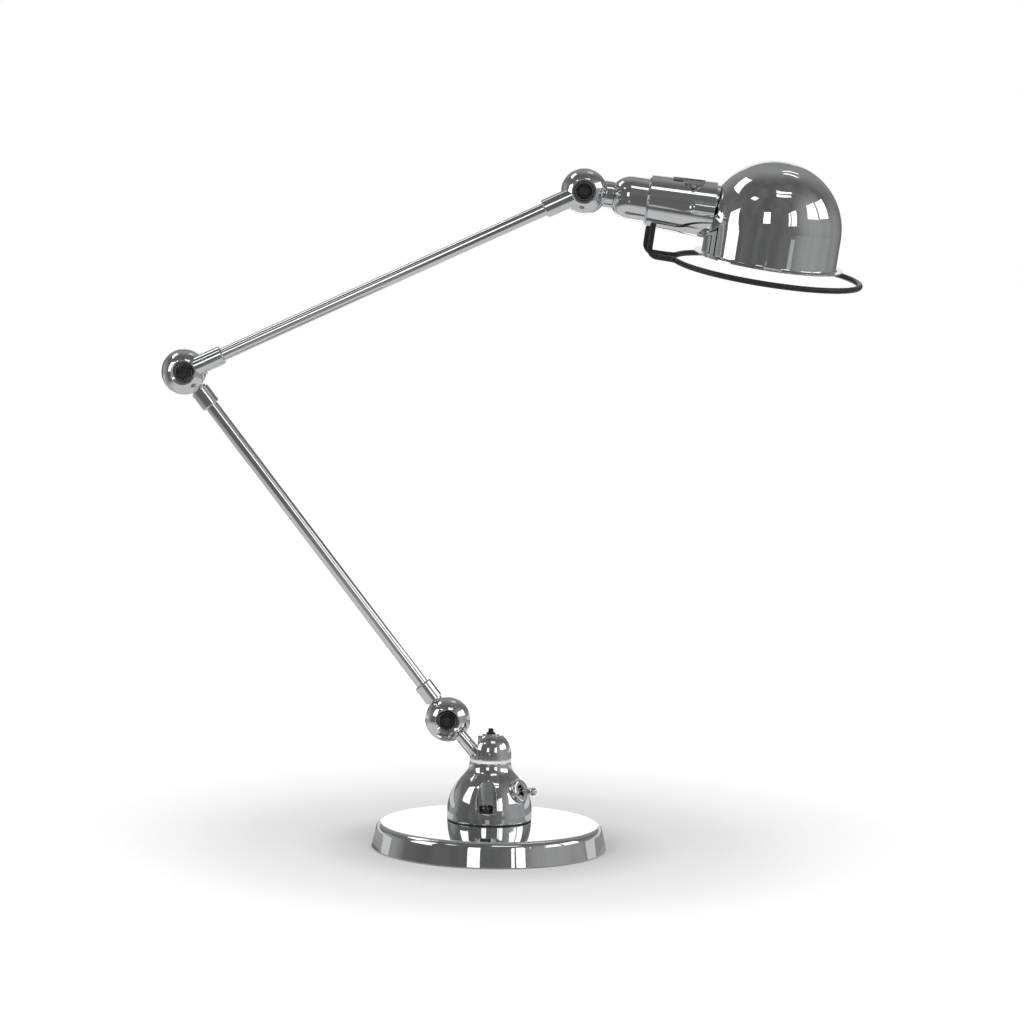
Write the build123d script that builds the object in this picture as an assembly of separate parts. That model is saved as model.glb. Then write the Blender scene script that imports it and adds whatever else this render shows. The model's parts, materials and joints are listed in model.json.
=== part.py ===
from build123d import *
import os
from math import acos, atan2, cos, degrees, hypot, radians, sin, sqrt, tan

# Swing arm desk lamp. Millimetres and degrees. +Z is up, the origin is on the table at the base's centre,
# and the arms lie in planes parallel to XZ with the front of the lamp towards -Y.

# Running and seating clearances
run_gap = 0.05
turn_gap = 0.10
seat_gap = 0.02
skin_gap = 0.30

# Base
base_d = 162.0
base_rim_h = 17.0
base_rim_lean = 3.6
base_shoulder_r = 5.2
base_crown = 2.6
base_wall = 2.2
base_lift = 0.8
felt_t = 2.0
felt_inset = 4.0
ballast_bore_d = 36.0
cord_slot_w = 9.0
grommet_d = 12.0
grommet_flange = 1.5
grommet_t = 1.6
grommet_bore_d = 6.5
grommet_z = 8.5

# Pedestal
pedestal_foot_d = 58.8
pedestal_top_d = 28.6
pedestal_shoulder_h = 18.6
pedestal_waist_h = 35.4
pedestal_h = 39.9
pedestal_wall_h = 3.7
pedestal_neck_h = 0.32
pedestal_wall = 4.0
pedestal_floor = 3.8
cavity_straight_h = 12.0
cavity_top_d = 29.0
pocket_count = 3
pocket_angle = -94.0
pocket_d = 13.4
pocket_inset = 3.0
pocket_wall = 2.2
pocket_floor_h = 8.0
screw_inset = 4.2
screw_d = 5.0
screw_head_d = 7.2
screw_head_h = 3.2
screw_reach = 9.0
slot_w = 1.1
slot_depth = 1.2
gasket_t = 0.8
gasket_inset = 0.3

# Toggle switch
switch_angle = -37.0
switch_rise = 20.0
switch_h = 21.8
switch_seat_depth = 1.4
ring_nut_d = 16.4
ring_nut_t = 4.5
ring_nut_round = 2.0
bush_d = 12.0
bush_bore_d = 8.0
bush_proud = 2.9
switch_boss_d = 18.0
switch_boss_depth = 9.0
switch_body_w = 11.0
switch_body_t = 10.0
lever_pivot_depth = 0.4
lever_throw = 14.0
lever_len = 15.5
lever_root_d = 2.7
lever_tip_d = 5.6
lever_hub_d = 4.6
lever_hub_w = 6.0
trunnion_d = 1.8

# Swivel and turret
swivel_washer_t = 2.0
swivel_washer_inset = 0.2
turret_d = 28.8
turret_wall_h = 3.6
turret_h = 16.4
turret_top_d = 15.4
turret_flange_h = 2.0
turret_facet = 8.9
turret_lug_w = 13.0
turret_spigot_d = 20.0
turret_spigot_h = 9.9
spindle_d = 10.0
spindle_bore_d = 6.4
spindle_grip = 5.6
spring_t = 1.4
spring_d = 18.0
swivel_nut_af = 17.0
swivel_nut_t = 3.0
turret_washer_d = 11.6
turret_washer_t = 0.9
stud_d = 3.8
stud_h = 3.4
stud_foot_d = 6.4
stud_foot_h = 0.8
stud_shank_d = 3.0
stud_shank_len = 6.0

# Stem
stem_angle = 48.6
stem_run = 32.0
stem_entry_h = 1.7
stem_wire_len = 14.0
stem_wire_d = 5.0

# Arms
tube_d = 9.0
tube_wall = 1.0
arm_len = 300.0
lower_angle = 128.0
upper_angle = 25.4
ferrule_d = 13.0
ferrule_len = 13.6
ferrule_bevel = 0.8
spigot_len = 12.0
front_neck_d = 13.0
rear_neck_d = 10.6
lead_gap = 0.3

# Ball joints
ball_d = 31.5
ball_clear = 0.35
part_gap = 0.3
stem_wall = 0.8
recess_d = 12.8
recess_floor = 5.2
recess_bevel = 2.0
cavity_d = 24.8
cavity_depth = 3.0
bolt_d = 6.0
bolt_head_af = 10.0
bolt_head_t = 4.0
bolt_end = 1.2
disc_t = 0.9
hex_nut_af = 10.0
round_nut_d = 11.0
pivot_nut_t = 4.5
nut_groove_d = 8.0
nut_groove_t = 0.9
wire_way_d = 3.2
plate_t = 1.8
ring_t = 0.5
ring_mid_d = 18.5
ring_w = 2.6
brush_d = 2.6

# Head: sizes along the head's axis are measured from the head joint's centre
head_tilt = -7.4
head_roll = 6.0
neck_d = 18.5
neck_len = 4.6
neck_bevel = 0.8
roll_spigot_d = 10.0
roll_spigot_len = 8.5
roll_nut_af = 14.7
roll_nut_t = 4.0
head_wire_d = 4.4
cup_d = 29.8
cup_end = 43.3
cup_round_h = 11.2
cup_wall = 1.8
cup_floor = 3.0
bead_d = 32.6
bead_t = 1.2
sleeve_start_d = 35.7
sleeve_flare = 2.15
sleeve_wall = 1.2
sleeve_end_wall = 1.0
sleeve_spigot_wall = 1.7
sleeve_spigot_len = 6.0
sleeve_wire_d = 7.0
sleeve_back = 42.5
rib_start = 76.0
rib_d = 10.0
rib_h = 1.8
rib_turn = 6.0
plate_at = 73.0
plate_turn = 29.0
plate_w = 15.8
plate_tall = 15.0
plate_skin = 0.9
plate_edge = 1.1
plate_field = 0.35
plate_flank = 0.16
plate_tip_r = 1.6
tab_len = 5.0
tab_w = 4.6
rivet_d = 2.0
rivet_head_d = 3.2
rivet_head_t = 0.7
rivet_drop = 4.5

# Lampholder and bulb
holder_d = 25.8
holder_end = 80.0
holder_floor = 10.5
holder_shell_d = 16.0
holder_shell_wall = 0.8
holder_shell_inset = 1.5
holder_screw_d = 3.0
holder_screw_head_d = 5.0
holder_screw_head_t = 1.5
holder_screw_pcd = 15.0
contact_d = 6.0
contact_t = 2.6
cap_len = 22.5
cap_wall = 0.6
cap_tip_d = 5.0
cap_tip_len = 1.7
glass_d = 45.0
glass_seat = 6.0
glass_len = 54.0
glass_wall = 0.9

# Shade and wire guard
shade_at = 132.0
shade_drop = 6.4
shade_d = 93.2
shade_skirt = 22.6
shade_wall = 0.9
shade_rim = 4.8
shade_rim_r = 1.6
collar_wall = 1.0
collar_start = 79.0
wire_d = 4.0
guard_at = 48.8
guard_skew = 2.4
guard_spread = 20.6
guard_ring_d = 129.0
guard_drop = 36.1
guard_bend_r = 6.0
guard_flare_r = 8.0
guard_end_depth = 12.5

# Heights and radii that follow
base_r = base_d / 2
base_top_z = base_rim_h + base_crown
foot_z = base_top_z + gasket_t
pedestal_top_z = foot_z + pedestal_h
seat_z = pedestal_top_z + swivel_washer_t + run_gap
turret_top_z = seat_z + turret_h
shelf_z = seat_z - turret_spigot_h - 2 * turn_gap
under_shelf_z = shelf_z - pedestal_floor
pocket_pcd = pedestal_foot_d - 2 * pocket_inset
screw_pcd = pedestal_foot_d - 2 * screw_inset
tube_r = tube_d / 2
spigot_r = tube_r - tube_wall - seat_gap
ball_r = ball_d / 2
neck_start = ball_r + ball_clear
neck_end = neck_start + neck_len
sleeve_end = shade_at - sleeve_back
arm_offset = ferrule_d / 2 + skin_gap
stem_offset = tube_r + stem_wall
neck_offset = neck_d / 2 + skin_gap
inner_face = part_gap / 2
nut_face = recess_floor + disc_t
plate_face = cavity_depth - plate_t
ring_face = plate_face - ring_t


# Small builders

def vec(*xyz):
    return Vector(*xyz)


def in_plane(angle):
    """Direction in the XZ plane at an angle above +X."""
    return vec(cos(radians(angle)), 0, sin(radians(angle)))


def rod(diameter, start, end):
    axis = end - start
    low = (Align.CENTER, Align.CENTER, Align.MIN)
    return Plane(start, z_dir=axis) * Cylinder(diameter / 2, axis.length, align=low)


def tube(outer, inner, start, end):
    return rod(outer, start, end) - rod(inner, start, end)


def hexagon(across, start, end):
    axis = end - start
    outline = RegularPolygon(across / 2, 6, major_radius=False)
    return extrude(Plane(start, z_dir=axis) * outline, axis.length)


def turned(*edges):
    """Solid of revolution about +Z from edges in the XZ plane that close an outline."""
    return revolve(make_face(edges), axis=Axis.Z)


def rz(radius, height):
    return (radius, 0, height)


def bevelled_rod(diameter, start, end, bevel):
    """Rod whose far edge is bevelled."""
    solid = rod(diameter, start, end)
    return chamfer(solid.faces().sort_by_distance(end)[0].edges(), bevel)


def along_z(z0, z1):
    return vec(0, 0, z0), vec(0, 0, z1)


def round_the_axis(shape, count, start_angle):
    step = 360 / count
    return [Rot(0, 0, start_angle + step * i) * shape for i in range(count)]


def slotted_screw(diameter, head_d, head_h, seat, reach):
    """Cheese-head screw standing on +Z with its head's seat at a height."""
    low, high = along_z(seat, seat + head_h)
    head = rod(head_d, low, high)
    slot = Pos(0, 0, seat + head_h) * Box(head_d, slot_w, 2 * slot_depth)
    return head + rod(diameter, vec(0, 0, seat - reach), low) - slot


# Base

def make_base():
    top_r = base_r - base_rim_lean
    foot_r = pedestal_foot_d / 2
    outer = FilletPolyline(
        rz(foot_r, base_top_z), rz(top_r, base_rim_h), rz(base_r, base_lift), radius=base_shoulder_r
    )
    inner_r = max(base_shoulder_r - base_wall, base_wall / 2)
    inner = FilletPolyline(
        rz(base_r - base_wall, base_lift),
        rz(top_r - base_wall, base_rim_h - base_wall),
        rz(foot_r, base_top_z - base_wall),
        radius=inner_r,
    )
    cover = turned(
        Polyline(rz(0, base_top_z - base_wall), rz(0, base_top_z), rz(foot_r, base_top_z)),
        outer,
        Line(rz(base_r, base_lift), rz(base_r - base_wall, base_lift)),
        inner,
        Line(rz(foot_r, base_top_z - base_wall), rz(0, base_top_z - base_wall)),
    )
    weight_r = base_r - base_wall - skin_gap
    weight = turned(
        Polyline(
            rz(ballast_bore_d / 2, base_top_z - base_wall),
            rz(foot_r, base_top_z - base_wall),
            rz(top_r - base_wall - base_shoulder_r, base_rim_h - base_wall - skin_gap),
            rz(top_r - base_wall - base_shoulder_r, base_rim_h - base_wall - base_shoulder_r),
            rz(weight_r - base_shoulder_r, felt_t + felt_inset),
            rz(weight_r - base_shoulder_r, felt_t),
            rz(ballast_bore_d / 2, felt_t),
            rz(ballast_bore_d / 2, base_top_z - base_wall),
        )
    )
    felt = rod(2 * (weight_r - felt_inset), *along_z(0, felt_t))

    hole_y = base_r - base_rim_lean * (grommet_z - base_lift) / (base_rim_h - base_lift)
    lean = degrees(atan2(base_rim_lean, base_rim_h - base_lift))
    out = vec(0, cos(radians(lean)), sin(radians(lean)))
    mouth = vec(0, hole_y, grommet_z)
    grommet = rod(grommet_d, mouth - out * (base_wall + grommet_t), mouth)
    grommet += rod(grommet_d + 2 * grommet_flange, mouth, mouth + out * grommet_t)
    inside = mouth - out * base_wall
    grommet += rod(grommet_d + 2 * grommet_flange, inside - out * grommet_t, inside)
    reach = base_wall + 4 * grommet_t
    grommet -= rod(grommet_bore_d, mouth - out * reach, mouth + out * reach)
    cover -= rod(grommet_d, mouth - out * reach, mouth + out * reach)
    grommet -= cover
    slot_top = grommet_z + grommet_d
    weight -= Pos(0, base_r / 2, slot_top / 2) * Box(cord_slot_w, base_r, slot_top)
    weight -= rod(grommet_d + 4 * grommet_flange, mouth - out * (reach + grommet_t), mouth)

    shaft = rod(screw_d, vec(screw_pcd / 2, 0, 0), vec(screw_pcd / 2, 0, 2 * foot_z))
    gasket_d = pedestal_foot_d - 2 * gasket_inset
    gasket = tube(gasket_d, screw_pcd - 2 * screw_d, *along_z(base_top_z, foot_z))
    for hole in round_the_axis(shaft, pocket_count, pocket_angle):
        cover -= hole
        gasket -= hole
    blind = rod(screw_d, vec(screw_pcd / 2, 0, foot_z - screw_reach), vec(screw_pcd / 2, 0, 2 * foot_z))
    for hole in round_the_axis(blind, pocket_count, pocket_angle):
        weight -= hole
    return cover, weight, felt, grommet, gasket


# Pedestal

def pedestal_profile():
    """Upright wall, rounded shoulder, slope and rounded waist; a slope is always left."""
    foot_r, top_r = pedestal_foot_d / 2, pedestal_top_d / 2
    rise = pedestal_waist_h - pedestal_shoulder_h
    slope = hypot(foot_r - top_r, rise)
    lower = pedestal_shoulder_h - pedestal_wall_h
    upper = pedestal_h - pedestal_waist_h - pedestal_neck_h
    ease = min(1, (slope - skin_gap) / (lower + upper))
    half_turn = atan2(foot_r - top_r, rise) / 2
    return FilletPolyline(
        rz(foot_r, foot_z),
        rz(foot_r, foot_z + pedestal_shoulder_h),
        rz(top_r, foot_z + pedestal_waist_h),
        rz(top_r, pedestal_top_z),
        radius=[ease * lower / tan(half_turn), ease * upper / tan(half_turn)],
    )


def make_switch_frame(outside):
    """Plane on the pedestal's skin whose Z points out along the switch and whose X is level."""
    level = vec(cos(radians(switch_angle)), sin(radians(switch_angle)), 0)
    height = foot_z + switch_h
    ray = Axis(vec(0, 0, height), level)
    skin = max(p.dot(level) for p, _ in outside.find_intersection_points(ray))
    out = level * cos(radians(switch_rise)) + vec(0, 0, sin(radians(switch_rise)))
    side = vec(0, 0, 1).cross(level)
    return Plane(level * skin + vec(0, 0, height), x_dir=side, z_dir=out)


def make_pedestal():
    foot_r = pedestal_foot_d / 2
    outside = turned(
        pedestal_profile(),
        Polyline(
            rz(pedestal_top_d / 2, pedestal_top_z), rz(0, pedestal_top_z), rz(0, foot_z), rz(foot_r, foot_z)
        ),
    )
    cavity_r = foot_r - pedestal_wall
    hollow = turned(
        Polyline(
            rz(0, foot_z),
            rz(cavity_r, foot_z),
            rz(cavity_r, foot_z + cavity_straight_h),
            rz(cavity_top_d / 2, under_shelf_z),
            rz(0, under_shelf_z),
            rz(0, foot_z),
        )
    )
    pocket_floor_z = foot_z + pocket_floor_h
    pocket_x, screw_x = pocket_pcd / 2, screw_pcd / 2
    post = rod(pocket_d + 2 * pocket_wall, vec(pocket_x, 0, foot_z), vec(pocket_x, 0, pedestal_top_z))
    pocket = rod(pocket_d, vec(pocket_x, 0, pocket_floor_z), vec(pocket_x, 0, pedestal_top_z))
    shaft = rod(screw_d, vec(screw_x, 0, foot_z), vec(screw_x, 0, pocket_floor_z))
    screw_post = rod(screw_d + 2 * pocket_wall, vec(screw_x, 0, foot_z), vec(screw_x, 0, pocket_floor_z))
    for solid in round_the_axis(post + screw_post, pocket_count, pocket_angle):
        hollow -= solid

    frame = make_switch_frame(outside)
    axis_in = -frame.z_dir
    at = frame.origin
    boss = rod(switch_boss_d, at + axis_in * switch_boss_depth, at - axis_in * switch_boss_d)
    hollow -= boss
    body = outside - hollow
    for solid in round_the_axis(pocket, pocket_count, pocket_angle):
        body -= solid
    for solid in round_the_axis(shaft, pocket_count, pocket_angle):
        body -= solid
    body -= rod(ring_nut_d + 2 * skin_gap, at + axis_in * switch_seat_depth, at - axis_in * switch_boss_d)
    body -= rod(bush_d + 2 * seat_gap, at + axis_in * switch_boss_d, at - axis_in * switch_boss_d)
    body -= rod(turret_spigot_d + 2 * run_gap, *along_z(shelf_z, pedestal_top_z))
    body -= rod(spindle_d + 2 * run_gap, *along_z(under_shelf_z, shelf_z))

    screw = slotted_screw(
        screw_d - 2 * seat_gap, screw_head_d, screw_head_h, pocket_floor_z, pocket_floor_h + screw_reach
    )
    screw = Pos(screw_pcd / 2, 0, 0) * screw
    screws = Compound(children=round_the_axis(screw, pocket_count, pocket_angle))
    return body, screws, frame


# Toggle switch

def make_switch(frame):
    at, out = frame.origin, frame.z_dir
    seat = at - out * switch_seat_depth
    face = seat + out * ring_nut_t
    nut = rod(ring_nut_d, seat, face)
    nut = fillet(nut.faces().sort_by_distance(face)[0].edges(), ring_nut_round)
    nut -= rod(bush_d + 2 * seat_gap, seat, face)
    back = at - out * switch_boss_depth
    bush = tube(bush_d, bush_bore_d, back, at + out * bush_proud)
    pivot = at - out * lever_pivot_depth
    side = frame.x_dir
    bush -= rod(trunnion_d + 2 * run_gap, pivot - side * (bush_d / 2), pivot + side * (bush_d / 2))
    body = Plane(back - out * (switch_body_t / 2), x_dir=side, z_dir=out)
    body = body * Box(switch_body_w, switch_body_w, switch_body_t)

    thrown = out.rotate(Axis(pivot, side), lever_throw)
    tip_r = lever_tip_d / 2
    bat_frame = Plane(pivot, x_dir=side, z_dir=thrown)
    bat = turned(
        Polyline(rz(0, lever_len), rz(0, 0), rz(lever_root_d / 2, 0), rz(tip_r, lever_len - tip_r)),
        TangentArc(rz(tip_r, lever_len - tip_r), rz(0, lever_len), tangent=(0, 0, 1)),
    )
    lever = bat_frame * bat
    lever += rod(lever_hub_d, pivot - side * (lever_hub_w / 2), pivot + side * (lever_hub_w / 2))
    pin_half = bush_d / 2 - run_gap
    lever += rod(trunnion_d, pivot - side * pin_half, pivot + side * pin_half)
    return nut, bush, body, lever


# Turret, swivel and stem

def stem_line():
    """Where the stem's axis meets the turret's facet, and its upward direction."""
    return vec(-turret_facet, 0, seat_z + stem_entry_h), in_plane(180 - stem_angle)


def make_turret():
    wall_z = seat_z + turret_wall_h
    side_r, top_r = turret_d / 2, turret_top_d / 2
    dome = turned(
        Line(rz(side_r, seat_z), rz(side_r, wall_z)),
        TangentArc(rz(side_r, wall_z), rz(top_r, turret_top_z), tangent=(0, 0, 1)),
        Polyline(rz(top_r, turret_top_z), rz(0, turret_top_z), rz(0, seat_z), rz(side_r, seat_z)),
    )
    lug = Pos(-turret_facet / 2, 0, seat_z + turret_h / 2) * Box(turret_facet, turret_lug_w, turret_h)
    full = rod(turret_d, *along_z(seat_z, turret_top_z))
    body = dome + (lug & full)
    flange_top = seat_z + turret_flange_h
    cut_w = turret_d - turret_facet
    cut = Box(cut_w, 2 * turret_d, 2 * turret_h)
    body -= Pos(-turret_facet - cut_w / 2, 0, flange_top + turret_h) * cut
    body += rod(turret_spigot_d, *along_z(seat_z - turret_spigot_h, seat_z))

    entry, up = stem_line()
    joint = entry + up * stem_run
    stem_top = entry + up * (stem_run - cavity_d / 2 - skin_gap)
    stem = rod(tube_d, entry - up * turret_d, stem_top) - body
    stem -= Pos(0, 0, flange_top - turret_d) * Box(4 * turret_d, 4 * turret_d, 2 * turret_d)
    stem = stem.solids().sort_by_distance(joint)[0]
    stem -= rod(tube_d - 2 * tube_wall, entry - up * turret_d, stem_top)
    stem = stem.solids().sort_by_distance(joint)[0]

    foot = seat_z - turret_spigot_h
    body -= rod(spindle_d + 2 * seat_gap, *along_z(foot, foot + spindle_grip))
    body -= rod(stem_wire_d, entry + up, entry - up * stem_wire_len)
    body -= rod(stud_shank_d, *along_z(turret_top_z - stud_shank_len, turret_top_z))
    washer_top = turret_top_z + turret_washer_t
    washer = rod(turret_washer_d, *along_z(turret_top_z, washer_top))
    washer -= rod(stud_shank_d, *along_z(turret_top_z, washer_top))
    stud = rod(stud_foot_d, *along_z(washer_top, washer_top + stud_foot_h))
    stud += rod(stud_d, *along_z(washer_top, washer_top + stud_h))
    stud += rod(stud_shank_d - 2 * seat_gap, *along_z(turret_top_z - stud_shank_len, washer_top))

    nut_top = under_shelf_z - turn_gap - spring_t
    spindle_foot = nut_top - swivel_nut_t - bolt_end
    spindle = tube(spindle_d, spindle_bore_d, *along_z(spindle_foot, foot + spindle_grip))
    spring = tube(spring_d, spindle_d + 2 * seat_gap, *along_z(nut_top, nut_top + spring_t))
    nut = hexagon(swivel_nut_af, *along_z(nut_top - swivel_nut_t, nut_top))
    nut -= rod(spindle_d + 2 * seat_gap, *along_z(nut_top - swivel_nut_t, nut_top))
    washer_ring = tube(
        turret_d - 2 * swivel_washer_inset,
        turret_spigot_d + 2 * skin_gap,
        *along_z(pedestal_top_z, pedestal_top_z + swivel_washer_t),
    )
    parts = body, washer, stud, spindle, spring, nut, stem, washer_ring
    return parts, joint


# Ball joints: each is built about its own centre, with side -1 for the front half and 1 for the rear

def at_depth(side, depth):
    return vec(0, side * depth, 0)


def half_ball(side):
    keep = Pos(0, side * (inner_face + ball_r), 0) * Box(4 * ball_r, 2 * ball_r, 4 * ball_r)
    return Sphere(ball_r) & keep


def hollow_out(shell, side):
    """Cut the nut's recess with its wide bevelled mouth, the contact cavity and the bolt's hole."""
    shell -= rod(recess_d, at_depth(side, recess_floor), at_depth(side, 2 * ball_r))
    recess_r = recess_d / 2
    low = (Align.CENTER, Align.CENTER, Align.MIN)
    mouth = sqrt(ball_r**2 - (recess_r + recess_bevel) ** 2)
    bevel = Cone(recess_r, recess_r + 2 * recess_bevel, 2 * recess_bevel, align=low)
    shell -= Plane(at_depth(side, mouth - recess_bevel), z_dir=at_depth(side, 1)) * bevel
    shell -= rod(cavity_d, at_depth(side, 0), at_depth(side, cavity_depth))
    return shell - rod(bolt_d + 2 * run_gap, at_depth(side, -ball_r), at_depth(side, ball_r))


def half_shell(side, angle, offset, neck, stop):
    """Half ball with a neck and a spigot that carry an arm at an angle, offset from the parting plane."""
    along = in_plane(angle)
    axis_at = at_depth(side, offset)
    end = axis_at + along * stop
    shell = half_ball(side) + rod(neck, axis_at, end)
    shell = hollow_out(shell, side)
    shell += rod(2 * spigot_r, end, end + along * spigot_len)
    way_in = at_depth(side, cavity_depth / 2) + along * (cavity_d / 2 - wire_way_d)
    corner = axis_at + along * (stop - wire_way_d)
    way = rod(wire_way_d, way_in, corner) + Pos(corner) * Sphere(wire_way_d / 2)
    return shell - (way + rod(wire_way_d, corner, end + along * (spigot_len + wire_way_d)))


def stem_shell():
    """Front half ball at the shoulder, with a plain socket for the stem."""
    along = in_plane(-stem_angle)
    start = at_depth(-1, stem_offset) + along * (cavity_d / 2 + skin_gap)
    shell = hollow_out(half_ball(-1), -1)
    shell -= rod(tube_d + 2 * seat_gap, start, start + along * ball_r)
    way_in = at_depth(-1, cavity_depth / 2) + along * (cavity_d / 2 - wire_way_d)
    return shell - rod(wire_way_d, way_in, start + along * wire_way_d)


def pivot_bolt():
    """Bolt that turns with the front half, its hexagon head in the rear half's recess."""
    seat = recess_floor + turn_gap
    head = hexagon(bolt_head_af, at_depth(1, seat), at_depth(1, seat + bolt_head_t))
    return head + rod(bolt_d, at_depth(1, seat), at_depth(-1, nut_face + pivot_nut_t + bolt_end))


def recess_disc():
    low, top = at_depth(-1, recess_floor), at_depth(-1, nut_face)
    return tube(recess_d - 2 * skin_gap, bolt_d + 2 * seat_gap, low, top)


def hex_nut():
    low, top = at_depth(-1, nut_face), at_depth(-1, nut_face + pivot_nut_t)
    return hexagon(hex_nut_af, low, top) - rod(bolt_d + 2 * seat_gap, low, top)


def round_nut():
    low, top = at_depth(-1, nut_face), at_depth(-1, nut_face + pivot_nut_t)
    nut = bevelled_rod(round_nut_d, low, top, nut_groove_t)
    nut -= rod(nut_groove_d, at_depth(-1, nut_face + pivot_nut_t - nut_groove_t), top)
    return nut - rod(bolt_d + 2 * seat_gap, low, top)


def contact_set():
    """Insulating plate and slip ring in the front half."""
    front = vec(0, -1, 0)
    floor, face = front * cavity_depth, front * plate_face
    plate = tube(cavity_d - 2 * skin_gap, bolt_d + 2 * skin_gap, face, floor)
    ring = tube(ring_mid_d + ring_w, ring_mid_d - ring_w, front * ring_face, face)
    return plate, ring


def brush(angle):
    """Contact pin in the rear half, opposite the arm, that runs on the slip ring."""
    spot = in_plane(angle + 180) * (ring_mid_d / 2)
    return rod(brush_d, spot + vec(0, cavity_depth, 0), spot - vec(0, ring_face - turn_gap, 0))


# Arms

def make_arm(start, angle, side):
    """Tube, ferrules and lead between two joints, offset to one side of the parting plane."""
    along = in_plane(angle)
    near = start + at_depth(side, arm_offset) + along * neck_start
    far = near + along * (arm_len - 2 * neck_start)
    bore = tube_d - 2 * tube_wall
    pipe = tube(tube_d, bore, near, far)
    ends = []
    for root, inward in ((near, along), (far, -along)):
        ferrule = bevelled_rod(ferrule_d, root, root + inward * ferrule_len, ferrule_bevel)
        ends.append(ferrule - rod(tube_d + 2 * seat_gap, root, root + inward * ferrule_len))
    lead_inset = along * (spigot_len + lead_gap)
    lead = rod(bore - 2 * lead_gap, near + lead_inset, far - lead_inset)
    return pipe, Compound(children=ends), lead


# Head: built along +X from the head joint's centre, with the shade's axis along Z, then set in place

def on_head(x, z=0.0, y=0.0):
    return vec(x, y, z)


def turned_x(*edges):
    """Solid of revolution about the head's axis; a point's X is its radius, its Z the place along it."""
    return Rot(0, 90, 0) * turned(*edges)


sleeve_start = cup_end + bead_t


def sleeve_r(x):
    return sleeve_start_d / 2 + (x - sleeve_start) * sin(radians(sleeve_flare))


def sleeve_cone(inset):
    """Solid cone of the sleeve, a little longer than the way to the shade, its skin moved in by inset."""
    low = (Align.CENTER, Align.CENTER, Align.MIN)
    start_r, end_r = sleeve_r(sleeve_start) - inset, sleeve_r(shade_at) - inset
    cone = Cone(start_r, end_r, shade_at - sleeve_start, align=low)
    return Pos(sleeve_start, 0, 0) * Rot(0, 90, 0) * cone


def make_neck():
    """Stub that sits on the rear half of the head joint's ball and carries the cup's spigot."""
    root = sqrt(ball_r**2 - neck_offset**2)
    body = bevelled_rod(neck_d, on_head(root), on_head(neck_end), neck_bevel)
    turn = radians(head_roll)
    ball_at = on_head(0, neck_offset * sin(turn), -neck_offset * cos(turn))
    body -= Pos(ball_at) * Sphere(ball_r + seat_gap)
    body -= rod(rear_neck_d + 2 * seat_gap, on_head(0), on_head(neck_start))
    body += rod(roll_spigot_d, on_head(neck_end), on_head(neck_end + roll_spigot_len))
    body -= rod(2 * (spigot_r + seat_gap), on_head(neck_start), on_head(neck_start + spigot_len))
    return body - rod(head_wire_d, on_head(neck_start), on_head(neck_end + roll_spigot_len))


def make_cup():
    face = neck_end + turn_gap
    floor = face + cup_floor
    r, bore = cup_d / 2, roll_spigot_d / 2 + run_gap
    inner = r - cup_wall
    nut_corner_r = roll_nut_af / sqrt(3)
    inner_round = inner - nut_corner_r - skin_gap
    brow, lip = rz(neck_d / 2, face), rz(r, face + cup_round_h)
    cup = turned_x(
        Line(rz(bore, face), brow),
        TangentArc(lip, brow, tangent=(0, 0, -1)),
        Polyline(lip, rz(r, cup_end), rz(inner, cup_end)),
        FilletPolyline(rz(inner, cup_end), rz(inner, floor), rz(bore, floor), radius=inner_round),
        Line(rz(bore, floor), rz(bore, face)),
    )
    nut_low, nut_top = on_head(floor + turn_gap), on_head(floor + turn_gap + roll_nut_t)
    nut = hexagon(roll_nut_af, nut_low, nut_top) - rod(roll_spigot_d + 2 * seat_gap, nut_low, nut_top)
    bead = tube(bead_d, 2 * inner, on_head(cup_end), on_head(sleeve_start))
    crown = bead.edges().filter_by(GeomType.CIRCLE).sort_by(lambda e: e.radius)[-2:]
    return cup, nut, fillet(crown, bead_t / 2 - seat_gap)


def guard_path():
    """Centre line of the wire: a leg, a run, the ring about the shade, and back."""
    half, r, drop = guard_spread / 2, guard_ring_d / 2, -guard_drop
    flare_y = half + guard_flare_r
    flare_x = shade_at - sqrt((r + guard_flare_r) ** 2 - flare_y**2)
    share = r / (r + guard_flare_r)
    legs = []
    for s in (-1, 1):
        at = guard_at - s * guard_skew / 2
        top = on_head(at, -guard_end_depth, s * half)
        knee = on_head(at, drop + guard_bend_r, s * half)
        toe = on_head(at + guard_bend_r, drop, s * half)
        run = on_head(flare_x, drop, s * half)
        touch = on_head(shade_at + (flare_x - shade_at) * share, drop, s * flare_y * share)
        bend = TangentArc(knee, toe, tangent=(0, 0, -1))
        flare = TangentArc(run, touch, tangent=(1, 0, 0))
        legs.append(([Line(top, knee), bend, Line(toe, run), flare], touch, top))
    far = on_head(shade_at + r, drop)
    ring = ThreePointArc(legs[0][1], far, legs[1][1])
    return Wire(legs[0][0] + [ring] + legs[1][0]), legs[0][2]


def make_guard():
    path, top = guard_path()
    section = Plane(top, z_dir=(0, 0, -1)) * Circle(wire_d / 2)
    return sweep(section, path=path)


def guard_holes():
    holes = []
    for s in (-1, 1):
        at, y = guard_at - s * guard_skew / 2, s * guard_spread / 2
        low, top = on_head(at, -guard_drop, y), on_head(at, -guard_end_depth, y)
        holes.append(rod(wire_d + 2 * seat_gap, low, top))
    return holes


def shade_form(radius):
    """Solid dome and skirt about the shade's axis."""
    skirt = Cylinder(radius, shade_skirt, align=(Align.CENTER, Align.CENTER, Align.MAX))
    return Pos(shade_at, 0, -shade_drop) * (Sphere(radius) + skirt)


def collar_d():
    return 2 * (sleeve_r(collar_start) - sleeve_wall - skin_gap)


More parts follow.
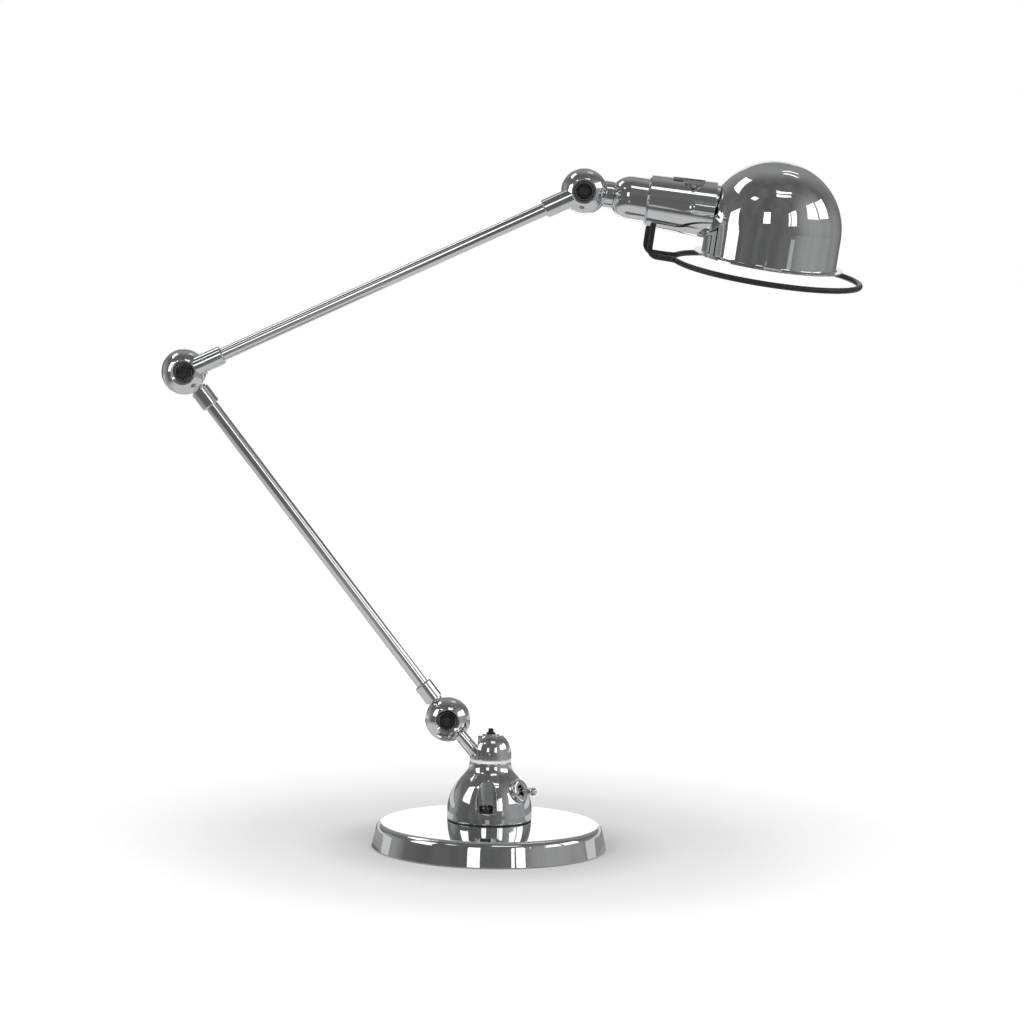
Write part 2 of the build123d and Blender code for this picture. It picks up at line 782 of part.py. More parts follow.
def make_sleeve():
    body = sleeve_cone(0)
    sink = rib_d / 2 - rib_h
    ribs, channels = [], []
    for s in (-1, 1):
        start = on_head(rib_start, 0, s * (sleeve_r(rib_start) - sink))
        end = on_head(shade_at, 0, s * (sleeve_r(shade_at) - sink))
        turn = Rot(s * rib_turn, 0, 0)
        ribs.append(turn * (rod(rib_d, start, end) + Pos(start) * Sphere(rib_d / 2)))
        inner = rib_d - 2 * sleeve_wall
        channels.append(turn * (rod(inner, start, end) + Pos(start) * Sphere(inner / 2)))
    for rib in ribs:
        body += rib
    bore = sleeve_cone(sleeve_wall)
    wall_end = sleeve_start + sleeve_end_wall
    bore -= rod(2 * sleeve_start_d, on_head(sleeve_start), on_head(wall_end))
    body -= bore
    for channel in channels:
        body -= channel
    body -= shade_form(shade_d / 2 + turn_gap)
    body -= rod(2 * sleeve_start_d, on_head(sleeve_end), on_head(shade_at + shade_d))
    body = body.solids().sort_by_distance(on_head(sleeve_start))[0]
    spigot_d = cup_d - 2 * cup_wall - 2 * seat_gap
    spigot_tip = on_head(sleeve_start - sleeve_spigot_len)
    body += tube(spigot_d, spigot_d - 2 * sleeve_spigot_wall, spigot_tip, on_head(wall_end))
    body -= rod(sleeve_wire_d, on_head(sleeve_start), on_head(wall_end))
    for hole in guard_holes():
        body -= hole
    for y in (-1, 1):
        at = y * holder_screw_pcd / 2
        body -= rod(holder_screw_d + 2 * seat_gap, on_head(sleeve_start, 0, at), on_head(wall_end, 0, at))
    return body


def make_plate():
    """Blank shield with a tab, curved to the sleeve, and its rivet."""
    half, tall = plate_w / 2, plate_tall / 2
    bulge = plate_flank * half
    left, right, tip = (-half, tall), (half, tall), (0, -tall)
    right_flank = ThreePointArc(right, (half / 2 + bulge, -bulge), tip)
    left_flank = ThreePointArc(tip, (-half / 2 - bulge, -bulge), left)
    shield = make_face([Line(left, right), right_flank, left_flank])
    shield = fillet(shield.vertices().sort_by(Axis.Y)[0], plate_tip_r)
    field = offset(shield, -plate_edge)
    tab = Pos(-half - tab_len / 2, tall - tab_w / 2) * Rectangle(tab_len + 2 * plate_edge, tab_w)
    reach = 2 * sleeve_start_d
    turn = Rot(plate_turn, 0, 0)
    prism = turn * Pos(plate_at, 0, 0) * extrude(shield + tab, reach)
    sunk = turn * Pos(plate_at, 0, 0) * extrude(field, reach)
    skin = sleeve_cone(-plate_skin) - sleeve_cone(0)
    plate = (skin & prism) - (sunk - sleeve_cone(plate_field - plate_skin))
    out = (turn * Location((0, 0, 1))).position
    skin_at = sqrt(sleeve_r(plate_at) ** 2 - rivet_drop**2)
    surface = (turn * Location((plate_at, -rivet_drop, skin_at))).position
    shank = rod(rivet_d, surface - out * (2 * sleeve_wall), surface + out * (2 * plate_skin))
    head_at = surface + out * (2 * plate_skin)
    rivet = shank + rod(rivet_head_d, head_at, head_at + out * rivet_head_t)
    plate = plate.solids().sort_by_distance(surface)[0]
    return plate - shank, rivet, shank


def make_lampholder():
    base = sleeve_start + sleeve_end_wall
    floor = base + holder_floor
    body = rod(holder_d, on_head(base), on_head(holder_end))
    body -= rod(holder_shell_d, on_head(floor), on_head(holder_end))
    shell_outer = holder_shell_d - 2 * seat_gap
    shell_inner = shell_outer - 2 * holder_shell_wall
    shell_low, shell_top = on_head(floor + holder_shell_inset), on_head(holder_end - holder_shell_inset)
    shell = tube(shell_outer, shell_inner, shell_low, shell_top)
    contact = rod(contact_d, on_head(floor), on_head(floor + contact_t))
    screws = []
    for y in (-1, 1):
        at = y * holder_screw_pcd / 2
        seat, depth = on_head(sleeve_start, 0, at), on_head(floor - sleeve_end_wall, 0, at)
        body -= rod(holder_screw_d, seat, depth)
        head = rod(holder_screw_head_d, seat - on_head(holder_screw_head_t), seat)
        screws.append(head + rod(holder_screw_d - 2 * seat_gap, seat, depth))

    tip = floor + contact_t + turn_gap
    cap_start = tip + cap_tip_len
    cap_end_x = cap_start + cap_len
    cap_d = shell_inner - 2 * turn_gap
    cap = rod(cap_d, on_head(cap_start), on_head(cap_end_x))
    cap -= rod(cap_d - 2 * cap_wall, on_head(cap_start + cap_wall), on_head(cap_end_x))
    cap += rod(cap_tip_d, on_head(tip), on_head(cap_start))

    globe_r, neck_r = glass_d / 2, cap_d / 2 - cap_wall - seat_gap
    centre = cap_end_x + glass_len - globe_r
    glass = make_globe(globe_r, neck_r, cap_end_x, centre)
    glass -= make_globe(globe_r - glass_wall, neck_r - glass_wall, cap_end_x, centre)
    return body, shell, contact, Compound(children=screws), cap, glass


def make_globe(globe_r, neck_r, start, centre):
    """Solid bulb: a neck that seats in the cap and a cone that runs into the globe with no corner."""
    seat = start - glass_seat
    away = hypot(centre - start, neck_r)
    angle = atan2(neck_r, start - centre) - acos(globe_r / away)
    touch = rz(globe_r * sin(angle), centre + globe_r * cos(angle))
    mid = rz(globe_r * sin(angle / 2), centre + globe_r * cos(angle / 2))
    tip = rz(0, centre + globe_r)
    return turned_x(
        Polyline(rz(0, seat), rz(neck_r, seat), rz(neck_r, start), touch),
        ThreePointArc(touch, mid, tip),
        Line(tip, rz(0, seat)),
    )


def make_shade():
    r, wall = shade_d / 2, shade_wall
    inner = r - wall
    skirt = -shade_skirt
    rim_r = r + shade_rim
    outside = FilletPolyline(rz(r, 0), rz(r, skirt + wall), rz(rim_r, skirt + wall), radius=shade_rim_r)
    inside = FilletPolyline(rz(rim_r, skirt), rz(inner, skirt), rz(inner, 0), radius=shade_rim_r + wall)
    shade = turned(
        TangentArc(rz(r, 0), rz(0, r), tangent=(0, 0, 1)),
        outside,
        Line(rz(rim_r, skirt + wall), rz(rim_r, skirt)),
        inside,
        TangentArc(rz(inner, 0), rz(0, inner), tangent=(0, 0, 1)),
        Line(rz(0, inner), rz(0, r)),
    )
    shade = Pos(shade_at, 0, -shade_drop) * shade
    mouth = collar_d() - 2 * collar_wall
    shade -= rod(mouth, on_head(collar_start), on_head(shade_at))
    collar = tube(collar_d(), mouth, on_head(collar_start), on_head(shade_at)) - shade_form(r)
    collar = collar.solids().sort_by_distance(on_head(collar_start))[0]
    return shade, collar


def build():
    nodes = {}
    base_names = ("base_cover", "ballast_weight", "base_felt", "cord_grommet", "pedestal_gasket")
    nodes.update(zip(base_names, make_base()))
    nodes["pedestal"], nodes["pedestal_screws"], switch_frame = make_pedestal()
    switch_names = ("switch_ring_nut", "switch_bush", "switch_body", "switch_lever")
    nodes.update(zip(switch_names, make_switch(switch_frame)))

    turret_names = (
        "turret",
        "turret_washer",
        "turret_stud",
        "swivel_spindle",
        "swivel_spring_washer",
        "swivel_nut",
        "stem_tube",
        "swivel_washer",
    )
    turret_parts, stem_end = make_turret()
    nodes.update(zip(turret_names, turret_parts))

    shoulder = stem_end + vec(0, stem_offset, 0)
    elbow = shoulder + in_plane(lower_angle) * arm_len
    head = elbow + in_plane(upper_angle) * arm_len

    nodes["shoulder_front_shell"] = Pos(shoulder) * stem_shell()
    for name, at, side, angle, offset, neck in (
        ("shoulder_rear_shell", shoulder, 1, lower_angle, arm_offset, rear_neck_d),
        ("elbow_rear_shell", elbow, 1, lower_angle + 180, arm_offset, rear_neck_d),
        ("elbow_front_shell", elbow, -1, upper_angle, arm_offset, front_neck_d),
        ("head_front_shell", head, -1, upper_angle + 180, arm_offset, front_neck_d),
        ("head_rear_shell", head, 1, head_tilt, neck_offset, rear_neck_d),
    ):
        nodes[name] = Pos(at) * half_shell(side, angle, offset, neck, neck_start)

    plate, ring = contact_set()
    inside = {
        "pivot_bolt": pivot_bolt(), "recess_disc": recess_disc(), "contact_plate": plate, "slip_ring": ring
    }
    for name, solid in inside.items():
        nodes[f"shoulder_{name}"] = Pos(shoulder) * solid
        nodes[f"upper_arm_{name}s"] = Compound(children=[Pos(elbow) * solid, Pos(head) * solid])
    nodes["shoulder_nut"] = Pos(shoulder) * round_nut()
    nodes["elbow_nut"] = Pos(elbow) * hex_nut()
    nodes["head_nut"] = Pos(head) * round_nut()
    lower_brushes = [Pos(shoulder) * brush(lower_angle), Pos(elbow) * brush(lower_angle + 180)]
    nodes["lower_arm_brushes"] = Compound(children=lower_brushes)
    nodes["head_brush"] = Pos(head) * brush(head_tilt)

    arm_names = ("tube", "ferrules", "lead")
    arms = (("lower", shoulder, lower_angle, 1), ("upper", elbow, upper_angle, -1))
    for name, start, angle, side in arms:
        for piece, solid in zip(arm_names, make_arm(start, angle, side)):
            nodes[f"{name}_arm_{piece}"] = solid

    along = in_plane(head_tilt)
    upright = in_plane(head_tilt + 90).rotate(Axis((0, 0, 0), along), head_roll)
    head_frame = Plane(head + vec(0, neck_offset, 0), x_dir=along, z_dir=upright)
    nodes["head_neck"] = head_frame * make_neck()
    cup, roll_nut, bead = make_cup()
    plate, rivet, rivet_hole = make_plate()
    sleeve = make_sleeve() - rivet_hole
    shade, collar = make_shade()
    holder_names = (
        "lampholder_body",
        "lampholder_shell",
        "lampholder_contact",
        "holder_screws",
        "bulb_cap",
        "bulb_glass",
    )
    head_parts = dict(zip(holder_names, make_lampholder()))
    head_parts.update(
        holder_cup=cup,
        roll_nut=roll_nut,
        bead_ring=bead,
        holder_sleeve=sleeve,
        shield_plate=plate,
        plate_rivet=rivet,
        shade=shade,
        shade_collar=collar,
        wire_guard=make_guard(),
    )
    for name, solid in head_parts.items():
        nodes[name] = head_frame * solid
    return nodes


os.makedirs("parts", exist_ok=True)
for node_name, node_shape in build().items():
    export_step(node_shape, f"parts/{node_name}.step")
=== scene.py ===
import bpy
import json
from math import cos, radians, sin
from mathutils import Matrix, Vector

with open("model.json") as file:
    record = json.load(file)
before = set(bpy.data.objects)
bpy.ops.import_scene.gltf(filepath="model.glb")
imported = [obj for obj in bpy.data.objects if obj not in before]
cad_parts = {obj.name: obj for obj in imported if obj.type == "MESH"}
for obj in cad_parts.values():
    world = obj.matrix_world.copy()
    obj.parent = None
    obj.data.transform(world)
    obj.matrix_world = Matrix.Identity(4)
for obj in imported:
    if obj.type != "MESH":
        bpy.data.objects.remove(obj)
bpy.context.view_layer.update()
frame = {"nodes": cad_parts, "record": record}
scene = bpy.context.scene
scene.view_settings.view_transform = "Standard"


# Camera at the photograph's place

CAMERA_AT = Vector((0.0358, -2.6286, 0.492))
CAMERA_PITCH = radians(5.625)
CAMERA_YAW = radians(-0.53)
CAMERA_ROLL = radians(1.145)
CAMERA_LENS = 135.5
CAMERA_SENSOR = 36
CAMERA_NEAR = 0.05
CAMERA_FAR = 50


def make_camera():
    forward = Vector((
        sin(CAMERA_YAW) * cos(CAMERA_PITCH), cos(CAMERA_YAW) * cos(CAMERA_PITCH), -sin(CAMERA_PITCH)
    ))
    right = forward.cross(Vector((0, 0, 1))).normalized()
    up = right.cross(forward)
    x_axis = right * cos(CAMERA_ROLL) + up * sin(CAMERA_ROLL)
    y_axis = up * cos(CAMERA_ROLL) - right * sin(CAMERA_ROLL)
    data = bpy.data.cameras.new("camera")
    data.sensor_width = CAMERA_SENSOR
    data.lens = CAMERA_LENS
    data.clip_start = CAMERA_NEAR
    data.clip_end = CAMERA_FAR
    camera = bpy.data.objects.new("camera", data)
    scene.collection.objects.link(camera)
    turn = Matrix((x_axis, y_axis, -forward)).transposed()
    camera.matrix_world = Matrix.Translation(CAMERA_AT) @ turn.to_4x4()
    scene.camera = camera


make_camera()


# Node helpers

EDGE_SAMPLES = 6


def new_tree(owner):
    owner.use_nodes = True
    tree = owner.node_tree
    tree.nodes.clear()
    return tree


def add(tree, kind, **sockets):
    """New node with its inputs set by name, or by number as i0, i1 and so on."""
    node = tree.nodes.new(kind)
    for name, value in sockets.items():
        key = int(name[1:]) if name[0] == "i" and name[1:].isdigit() else name
        put(tree, node.inputs[key], value)
    return node


def put(tree, socket, value):
    if isinstance(value, bpy.types.NodeSocket):
        tree.links.new(value, socket)
    else:
        socket.default_value = value


def coordinates(tree, stretch=(1, 1, 1), turn=(0, 0, 0)):
    place = add(tree, "ShaderNodeTexCoord")
    mapping = add(tree, "ShaderNodeMapping", Vector=place.outputs["Object"], Scale=stretch, Rotation=turn)
    return mapping.outputs["Vector"]


def noise(tree, vector, scale, detail=4.0, rough=0.55):
    node = add(tree, "ShaderNodeTexNoise", Vector=vector, Scale=scale, Detail=detail, Roughness=rough)
    return node.outputs["Fac"]


def spread(tree, value, low, high, to_low=0.0, to_high=1.0):
    """Value eased from one range to another."""
    node = add(tree, "ShaderNodeMapRange", i0=value, i1=low, i2=high, i3=to_low, i4=to_high)
    node.interpolation_type = "SMOOTHSTEP"
    return node.outputs["Result"]


def compute(tree, operation, *values):
    node = tree.nodes.new("ShaderNodeMath")
    node.operation = operation
    for socket, value in zip(node.inputs, values):
        put(tree, socket, value)
    return node.outputs["Value"]


def vector_math(tree, operation, *values):
    node = tree.nodes.new("ShaderNodeVectorMath")
    node.operation = operation
    for socket, value in zip(node.inputs, values):
        put(tree, socket, value)
    return node.outputs["Value"] if operation in ("DOT_PRODUCT", "LENGTH") else node.outputs["Vector"]


def between(tree, share, low, high):
    """Colour mixed from two tones."""
    node = tree.nodes.new("ShaderNodeMix")
    node.data_type = "RGBA"
    put(tree, node.inputs["Factor"], share)
    put(tree, node.inputs[6], (*low, 1))
    put(tree, node.inputs[7], (*high, 1))
    return node.outputs[2]


def bump(tree, height, strength, distance):
    node = add(tree, "ShaderNodeBump", Height=height, Strength=strength, Distance=distance)
    return node.outputs["Normal"]


def eased(tree, normal, radius):
    """Normal with the piece's sharp edges rounded over."""
    node = add(tree, "ShaderNodeBevel", Radius=radius, Normal=normal)
    node.samples = EDGE_SAMPLES
    return node.outputs["Normal"]


def principled(tree, **sockets):
    shader = tree.nodes.new("ShaderNodeBsdfPrincipled")
    for name, value in sockets.items():
        put(tree, shader.inputs[name.replace("_", " ")], value)
    out = tree.nodes.new("ShaderNodeOutputMaterial")
    tree.links.new(shader.outputs["BSDF"], out.inputs["Surface"])
    return shader


# Finishes

DRIFT_RANGE = (0.3, 0.7)
SMUDGE_SCALE = 46
SMUDGE_RANGE = (0.50, 0.76)
SMUDGE_ROUGH = 0.05
HAIRLINE_STRETCH = (900, 900, 60)
HAIRLINE_TURN = (0.3, 0.2, 0)
HAIRLINE_RANGE = (0.62, 0.80)
HAIRLINE_ROUGH = 0.03
POLISH_ROUGH = 0.028
PLATE_TONES = ((0.74, 0.75, 0.76), (0.82, 0.83, 0.84))
PLATE_TONE_SCALE = 90
RIPPLE_SCALE = 60
RIPPLE_FINE_SCALE = 700
RIPPLE_FINE_SHARE = 0.10
RIPPLE_DEPTH = 0.001
METAL_TONE_SCALE = 160
METAL_ROUGH_SCALE = 320
GRAIN_STRENGTH = 0.03
GRAIN_DEPTH = 0.0003
FINE_GRAIN = (900, 900, 900)
TURNED_GRAIN = (800, 800, 800)
COAT_TONE_RANGE = (0.35, 0.7)
COAT_TONE_TEETH = 6
COAT_ROUGH_TEETH = 3
TOOTH_STRENGTH = 0.35
FROST_SCALE = 120
FROST_ROUGH = (0.16, 0.30)
BULB_TONES = ((0.90, 0.90, 0.88), (0.97, 0.97, 0.96))
BULB_TONE_SCALE = 40
GLASS_IOR = 1.45
GLASS_CLEAR = 0.75
SHARP_ANGLE = radians(24)


def grey(tone):
    return (tone, tone, tone)


def chrome(name, ripple, edge):
    """Polished plate: mirror bright, with finger smudges, hairlines, a faint ripple and buffed edges."""
    material = bpy.data.materials.new(name)
    tree = new_tree(material)
    place = coordinates(tree)
    smudge = spread(tree, noise(tree, place, SMUDGE_SCALE), *SMUDGE_RANGE)
    scratches = coordinates(tree, HAIRLINE_STRETCH, HAIRLINE_TURN)
    hairline = spread(tree, noise(tree, scratches, 1, detail=2), *HAIRLINE_RANGE)
    rough = compute(tree, "MULTIPLY_ADD", smudge, SMUDGE_ROUGH, POLISH_ROUGH)
    rough = compute(tree, "MULTIPLY_ADD", hairline, HAIRLINE_ROUGH, rough)
    tone = between(tree, noise(tree, place, PLATE_TONE_SCALE, detail=6), *PLATE_TONES)
    wave = noise(tree, place, RIPPLE_SCALE, detail=2)
    fine = noise(tree, place, RIPPLE_FINE_SCALE, detail=2)
    wave = compute(tree, "MULTIPLY_ADD", fine, RIPPLE_FINE_SHARE, wave)
    surface = eased(tree, bump(tree, wave, ripple, RIPPLE_DEPTH), edge)
    principled(tree, Base_Color=tone, Metallic=1.0, Roughness=rough, Normal=surface)
    return material


def plain_metal(name, low, high, rough_low, rough_high, grain, edge=0.0):
    """Bare or dull metal: a cloudy tone, a drifting roughness, a fine grain and, where given, buffed edges."""
    material = bpy.data.materials.new(name)
    tree = new_tree(material)
    place = coordinates(tree)
    tone = between(tree, noise(tree, place, METAL_TONE_SCALE, detail=5), low, high)
    rough = spread(tree, noise(tree, place, METAL_ROUGH_SCALE), *DRIFT_RANGE, rough_low, rough_high)
    lines = noise(tree, coordinates(tree, grain), 1, detail=3)
    surface = bump(tree, lines, GRAIN_STRENGTH, GRAIN_DEPTH)
    if edge:
        surface = eased(tree, surface, edge)
    principled(tree, Base_Color=tone, Metallic=1.0, Roughness=rough, Normal=surface)
    return material


def coated(name, low, high, rough_low, rough_high, scale, depth, metallic=0.0):
    """Paint, rubber, moulding or felt: a tone that drifts, a roughness that drifts and a fine tooth."""
    material = bpy.data.materials.new(name)
    tree = new_tree(material)
    place = coordinates(tree)
    drift = spread(tree, noise(tree, place, scale / COAT_TONE_TEETH, detail=5), *COAT_TONE_RANGE)
    tone = between(tree, drift, low, high)
    rough = spread(tree, noise(tree, place, scale / COAT_ROUGH_TEETH), *DRIFT_RANGE, rough_low, rough_high)
    surface = bump(tree, noise(tree, place, scale), TOOTH_STRENGTH, depth)
    principled(tree, Base_Color=tone, Metallic=metallic, Roughness=rough, Normal=surface)
    return material


def bulb_glass(name):
    material = bpy.data.materials.new(name)
    tree = new_tree(material)
    place = coordinates(tree)
    frost = spread(tree, noise(tree, place, FROST_SCALE), *DRIFT_RANGE, *FROST_ROUGH)
    tone = between(tree, noise(tree, place, BULB_TONE_SCALE, detail=3), *BULB_TONES)
    principled(tree, Base_Color=tone, Roughness=frost, IOR=GLASS_IOR, Transmission_Weight=GLASS_CLEAR)
    return material


FINISHES = {
    "chrome_plate": chrome("chrome plate", ripple=0.02, edge=0.0004),
    "black_steel": coated(
        "black steel", grey(0.010), (0.020, 0.020, 0.021), 0.26, 0.40, scale=1400, depth=0.00003
    ),
    "black_disc": plain_metal("black disc", grey(0.55), grey(0.70), 0.14, 0.26, FINE_GRAIN),
    "zinc_steel": plain_metal(
        "zinc steel", (0.42, 0.42, 0.43), (0.58, 0.58, 0.59), 0.22, 0.40, FINE_GRAIN
    ),
    "bright_plate": plain_metal(
        "bright plate", (0.40, 0.40, 0.41), (0.52, 0.52, 0.53), 0.10, 0.20, FINE_GRAIN, edge=0.0005
    ),
    "contact_brass": plain_metal(
        "contact brass", (0.50, 0.36, 0.14), (0.66, 0.50, 0.22), 0.25, 0.45, TURNED_GRAIN
    ),
    "insulator": coated(
        "insulator", (0.030, 0.022, 0.020), (0.060, 0.046, 0.040), 0.35, 0.55, scale=900, depth=0.0003
    ),
    "nylon_washer": coated("nylon washer", grey(0.90), grey(0.95), 0.35, 0.50, scale=900, depth=0.0001),
    "lead_sheath": coated("lead sheath", grey(0.02), grey(0.04), 0.45, 0.65, scale=1200, depth=0.0002),
    "ballast_iron": coated(
        "ballast iron", grey(0.05), (0.12, 0.115, 0.11), 0.55, 0.80, scale=500, depth=0.001, metallic=0.6
    ),
    "base_felt": coated(
        "base felt", (0.018, 0.022, 0.020), (0.045, 0.052, 0.048), 0.85, 0.98, scale=2600, depth=0.0012
    ),
    "grommet_rubber": coated(
        "grommet rubber", grey(0.012), grey(0.030), 0.55, 0.75, scale=1500, depth=0.0003
    ),
    "holder_porcelain": coated(
        "holder porcelain", (0.74, 0.73, 0.70), (0.84, 0.83, 0.80), 0.12, 0.25, scale=260, depth=0.0002
    ),
    "bulb_glass": bulb_glass("bulb glass"),
}
CAST_CHROME = chrome("cast chrome", ripple=0.06, edge=0.0012)
CAST_NODES = ("pedestal", "turret")

SLOT_OF = {row["node"]: row["material_slot"] for row in frame["record"]["subparts"]}
for node_name, node in frame["nodes"].items():
    finish = CAST_CHROME if node_name in CAST_NODES else FINISHES[SLOT_OF[node_name]]
    node.data.materials.clear()
    node.data.materials.append(finish)
    node.data.shade_smooth()
    node.data.set_sharp_from_angle(angle=SHARP_ANGLE)


# Floor and room

ROOM_TONES = (0.108, 0.162)
ROOM_STREAK = (2.8, 2.8, 0.7)
# Azimuth, elevation, inner and outer half angle, glow
PALE_WALLS = (
    (180, 42, 8, 52, 0.16),
    (122, -6, 6, 34, 0.14),
    (72, 12, 8, 46, 0.20),
    (-118, 2, 6, 28, 0.20),
)
FLOOR_RADIUS = 3.0
FLOOR_CORNERS = 128
FLOOR_TONE = 0.60
# Painted shadow on the floor around the base, seen by the camera
PAINTED_SHADOW_SQUEEZE = 0.92
# Distance from, distance to, glow from, glow to
PAINTED_SHADOW_BANDS = ((0.080, 0.14, 0.04, 0.20), (0.12, 0.30, 0.0, 0.24), (0.28, 0.50, 0.0, 0.6))
# Painted pool of light on the floor, seen only in the plated parts' reflections
PAINTED_POOL_TONE = 0.60
PAINTED_POOL_REACH = (0.75, 0.40)
PAINTED_POOL_SLANT = (0.88, 0.62)
SLANT_BLEND = 0.5


def direction(azimuth, elevation):
    """Azimuth 0 is towards the camera, 90 to the right, 180 behind the lamp."""
    a, e = radians(azimuth), radians(elevation)
    return Vector((sin(a) * cos(e), -cos(a) * cos(e), sin(e)))


def room_tone(tree, towards):
    """Uneven tone of the room in a direction: upright streaks and four paler walls."""
    streak = vector_math(tree, "MULTIPLY", towards, ROOM_STREAK)
    tone = spread(tree, noise(tree, streak, 1), *DRIFT_RANGE, *ROOM_TONES)
    for azimuth, elevation, inner, outer, glow in PALE_WALLS:
        lobe = vector_math(tree, "DOT_PRODUCT", towards, direction(azimuth, elevation))
        wall = spread(tree, lobe, cos(radians(outer)), cos(radians(inner)), 0.0, glow)
        tone = compute(tree, "ADD", tone, wall)
    return tone


def floor_painted_shadow(tree, place):
    """Painted shadow that the camera sees on the floor: glow low beside the base, white a hand's width away.
    """
    squeezed = vector_math(tree, "MULTIPLY", place, (1, PAINTED_SHADOW_SQUEEZE, 1))
    away = vector_math(tree, "LENGTH", squeezed)
    near, far, rest = (spread(tree, away, *band) for band in PAINTED_SHADOW_BANDS)
    return compute(tree, "ADD", compute(tree, "ADD", near, far), rest)


def floor_painted_pool(tree, place):
    """Painted glow of the floor in the plated parts: a painted pool of light, pale where it is met steeply
    near the lamp, else the room's tone.
    """
    walls = room_tone(tree, vector_math(tree, "NORMALIZE", place))
    near = spread(tree, vector_math(tree, "LENGTH", place), *PAINTED_POOL_REACH)
    slant = add(tree, "ShaderNodeLayerWeight", Blend=SLANT_BLEND).outputs["Facing"]
    pale = compute(tree, "MULTIPLY", near, spread(tree, slant, *PAINTED_POOL_SLANT))
    lift = compute(tree, "MULTIPLY", pale, compute(tree, "SUBTRACT", PAINTED_POOL_TONE, walls))
    return compute(tree, "ADD", walls, lift)


def make_floor():
    bpy.ops.mesh.primitive_circle_add(
        vertices=FLOOR_CORNERS, radius=FLOOR_RADIUS, fill_type="NGON", location=(0, 0, 0)
    )
    floor = bpy.context.object
    floor.name = "floor"
    material = bpy.data.materials.new("floor")
    tree = new_tree(material)
    path = add(tree, "ShaderNodeLightPath")
    place = add(tree, "ShaderNodeTexCoord").outputs["Object"]
    matt = add(tree, "ShaderNodeBsdfDiffuse", Color=(*grey(FLOOR_TONE), 1))
    # Painted shadow: the camera's glow on the floor is lower beside the base
    lift = compute(tree, "MULTIPLY", path.outputs["Is Camera Ray"], floor_painted_shadow(tree, place))
    glow = add(tree, "ShaderNodeEmission", Strength=lift)
    seen = add(tree, "ShaderNodeAddShader", i0=matt.outputs[0], i1=glow.outputs[0])
    # Painted glow: the plated parts see a pale pool of light on the floor near the lamp
    mirrored = add(tree, "ShaderNodeEmission", Strength=floor_painted_pool(tree, place))
    mirror = compute(tree, "MAXIMUM", path.outputs["Is Glossy Ray"], path.outputs["Is Transmission Ray"])
    mixed = add(tree, "ShaderNodeMixShader", i0=mirror, i1=seen.outputs[0], i2=mirrored.outputs[0])
    out = tree.nodes.new("ShaderNodeOutputMaterial")
    tree.links.new(mixed.outputs[0], out.inputs["Surface"])
    floor.data.materials.append(material)


def make_world():
    """White to the camera; a dim room with paler walls to everything else."""
    world = bpy.data.worlds.new("room")
    scene.world = world
    tree = new_tree(world)
    path = add(tree, "ShaderNodeLightPath")
    towards = add(tree, "ShaderNodeTexCoord").outputs["Generated"]
    tone = room_tone(tree, towards)
    seen = compute(tree, "MAXIMUM", path.outputs["Is Camera Ray"], tone)
    back = add(tree, "ShaderNodeBackground", Color=(*grey(1), 1), Strength=seen)
    out = tree.nodes.new("ShaderNodeOutputWorld")
    tree.links.new(back.outputs[0], out.inputs["Surface"])


make_floor()
make_world()


# Studio windows and lamps

def glow_material(name, strength):
    material = bpy.data.materials.new(name)
    tree = new_tree(material)
    glow = add(tree, "ShaderNodeEmission", Strength=strength)
    out = tree.nodes.new("ShaderNodeOutputMaterial")
    tree.links.new(glow.outputs[0], out.inputs["Surface"])
    return material


AIM = Vector((0.186, 0.015, 0.43))
WINDOW_STEPS = 12
FAR = 10.0
NEAR = 1.2
LAMP_WIDE = 1.6
BACKDROP = glow_material("backdrop glow", 0.9)
SWEEP = glow_material("sweep glow", 1.3)
WINDOW = glow_material("window glow", 1.8)
PALE = glow_material("pale glow", 0.45)
HALF = glow_material("half glow", 0.65)
# Azimuth and elevation of the four corners, glow, distance
WINDOWS = {
    "backdrop": (((168, -2), (168, 26), (192, 26), (192, -2)), BACKDROP, FAR),
    "window_right": (((58, 16), (64, 35), (83, 35), (80, 13)), WINDOW, FAR),
    "window_far_right": (((84, 13), (87, 34), (110, 31), (106, 11)), WINDOW, FAR),
    "window_left": (((-85, -5), (-85, 20), (-69, 29), (-62, -5)), WINDOW, NEAR),
    "window_front": (((-21, 10), (-21, 29), (-9, 29), (-9, 10)), WINDOW, FAR),
    "window_front_low": (((-19, -24), (-19, -13), (-8, -13), (-8, -24)), PALE, NEAR),
    "window_right_low": (((27, -24), (27, -13), (34, -13), (34, -24)), PALE, NEAR),
    "window_front_pane": (((22, 6), (24, 27), (27, 28), (25, 6)), WINDOW, FAR),
    "window_front_right": (((27, 6), (29, 29), (39, 31), (36, 6)), WINDOW, FAR),
    "skylight": (((-125, 40), (-141, 50), (-121, 62), (-98, 44)), WINDOW, FAR),
    "strip_left": (((-61, 47), (-55, 52), (-41, 51), (-47, 46)), WINDOW, FAR),
    "strip_front": (((4, 64), (4, 69), (50, 61), (49, 58)), WINDOW, FAR),
    "strip_front_low": (((3, 57), (3, 62), (42, 56), (41, 53)), WINDOW, FAR),
    "strip_back": (((162, 60), (163, 64), (145, 52), (145, 49)), WINDOW, FAR),
    "strip_back_high": (((154, 66), (155, 70), (132, 60), (131, 56)), WINDOW, FAR),
}
# Half width, height, distance behind the lamp, glow
SWEEPS = {"sweep": (0.16, 0.27, 0.55, SWEEP), "sweep_low": (1.4, 0.13, 0.56, HALF)}
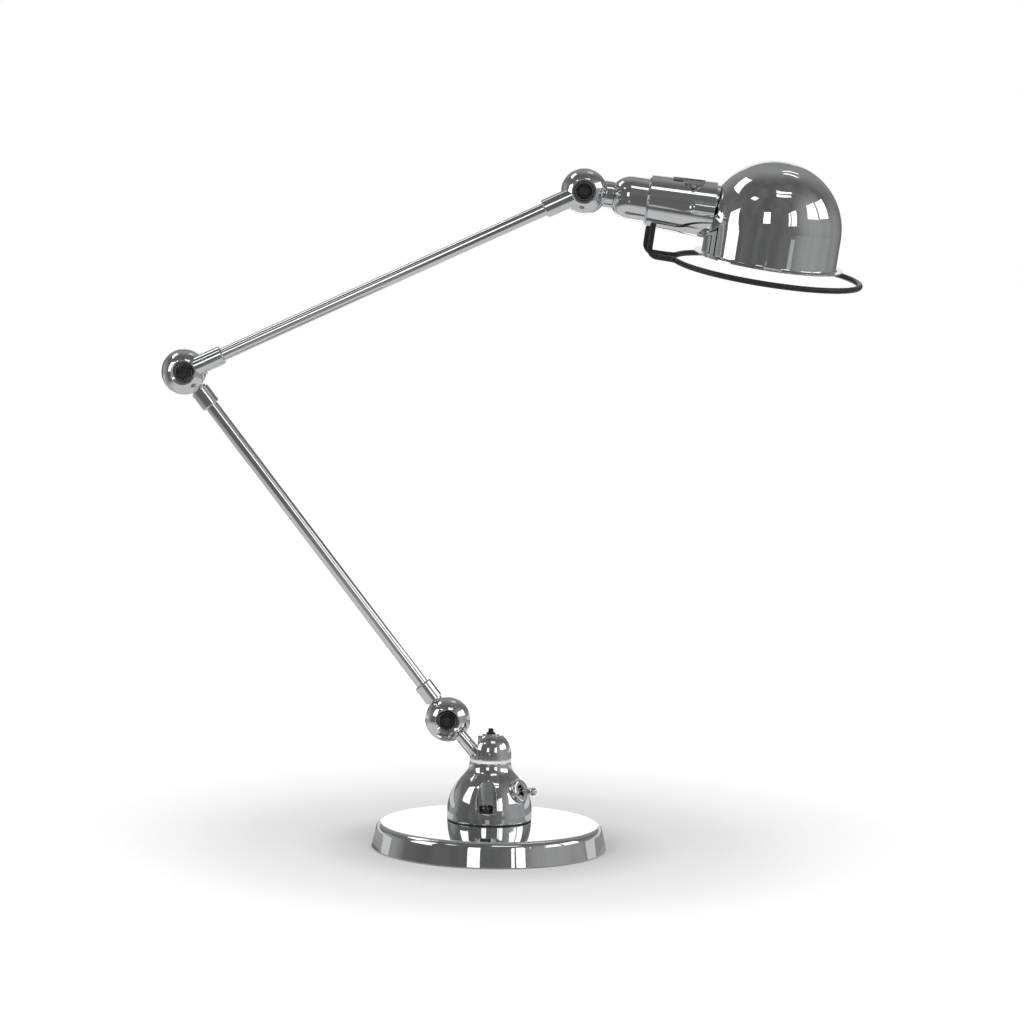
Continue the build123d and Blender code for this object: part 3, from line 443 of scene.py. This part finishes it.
# Azimuth, elevation, power, distance
LAMPS = {"key": (30, 68, 24, 2.2), "fill": (-60, 50, 10, 2.4), "front": (-15, 15, 22, 2.4)}


def make_window(name, corners, glow, away):
    """Glowing sheet on a sphere about the shade, given by the azimuth and elevation of its four corners."""
    steps = range(WINDOW_STEPS + 1)
    low_start, high_start, high_end, low_end = (Vector(corner) for corner in corners)
    verts = []
    for i in steps:
        for j in steps:
            u, v = i / WINDOW_STEPS, j / WINDOW_STEPS
            low, high = low_start.lerp(low_end, u), high_start.lerp(high_end, u)
            verts.append(AIM + direction(*low.lerp(high, v)) * away)
    row = WINDOW_STEPS + 1
    faces = [
        (i * row + j, (i + 1) * row + j, (i + 1) * row + j + 1, i * row + j + 1)
        for i in range(WINDOW_STEPS) for j in range(WINDOW_STEPS)
    ]
    hang(name, verts, faces, glow)


def make_sweep(name, half, height, back, glow):
    """Upright glowing sheet behind the lamp that only the plated parts see."""
    verts = [(-half, back, 0), (half, back, 0), (half, back, height), (-half, back, height)]
    hang(name, verts, [range(len(verts))], glow).visible_diffuse = False


def hang(name, verts, faces, glow):
    mesh = bpy.data.meshes.new(name)
    mesh.from_pydata(verts, [], faces)
    mesh.materials.append(glow)
    window = bpy.data.objects.new(name, mesh)
    scene.collection.objects.link(window)
    window.visible_camera = False
    window.visible_shadow = False
    return window


def make_light(name, azimuth, elevation, power, away):
    data = bpy.data.lights.new(name, "AREA")
    data.shape = "SQUARE"
    data.size = LAMP_WIDE
    data.energy = power
    light = bpy.data.objects.new(name, data)
    scene.collection.objects.link(light)
    back = direction(azimuth, elevation)
    light.matrix_world = (
        Matrix.Translation(back * away) @ back.to_track_quat("Z", "Y").to_matrix().to_4x4()
    )
    light.visible_glossy = False


for window_name, window_sizes in WINDOWS.items():
    make_window(window_name, *window_sizes)
for sweep_name, sweep_sizes in SWEEPS.items():
    make_sweep(sweep_name, *sweep_sizes)
for lamp_name, lamp_sizes in LAMPS.items():
    make_light(lamp_name, *lamp_sizes)
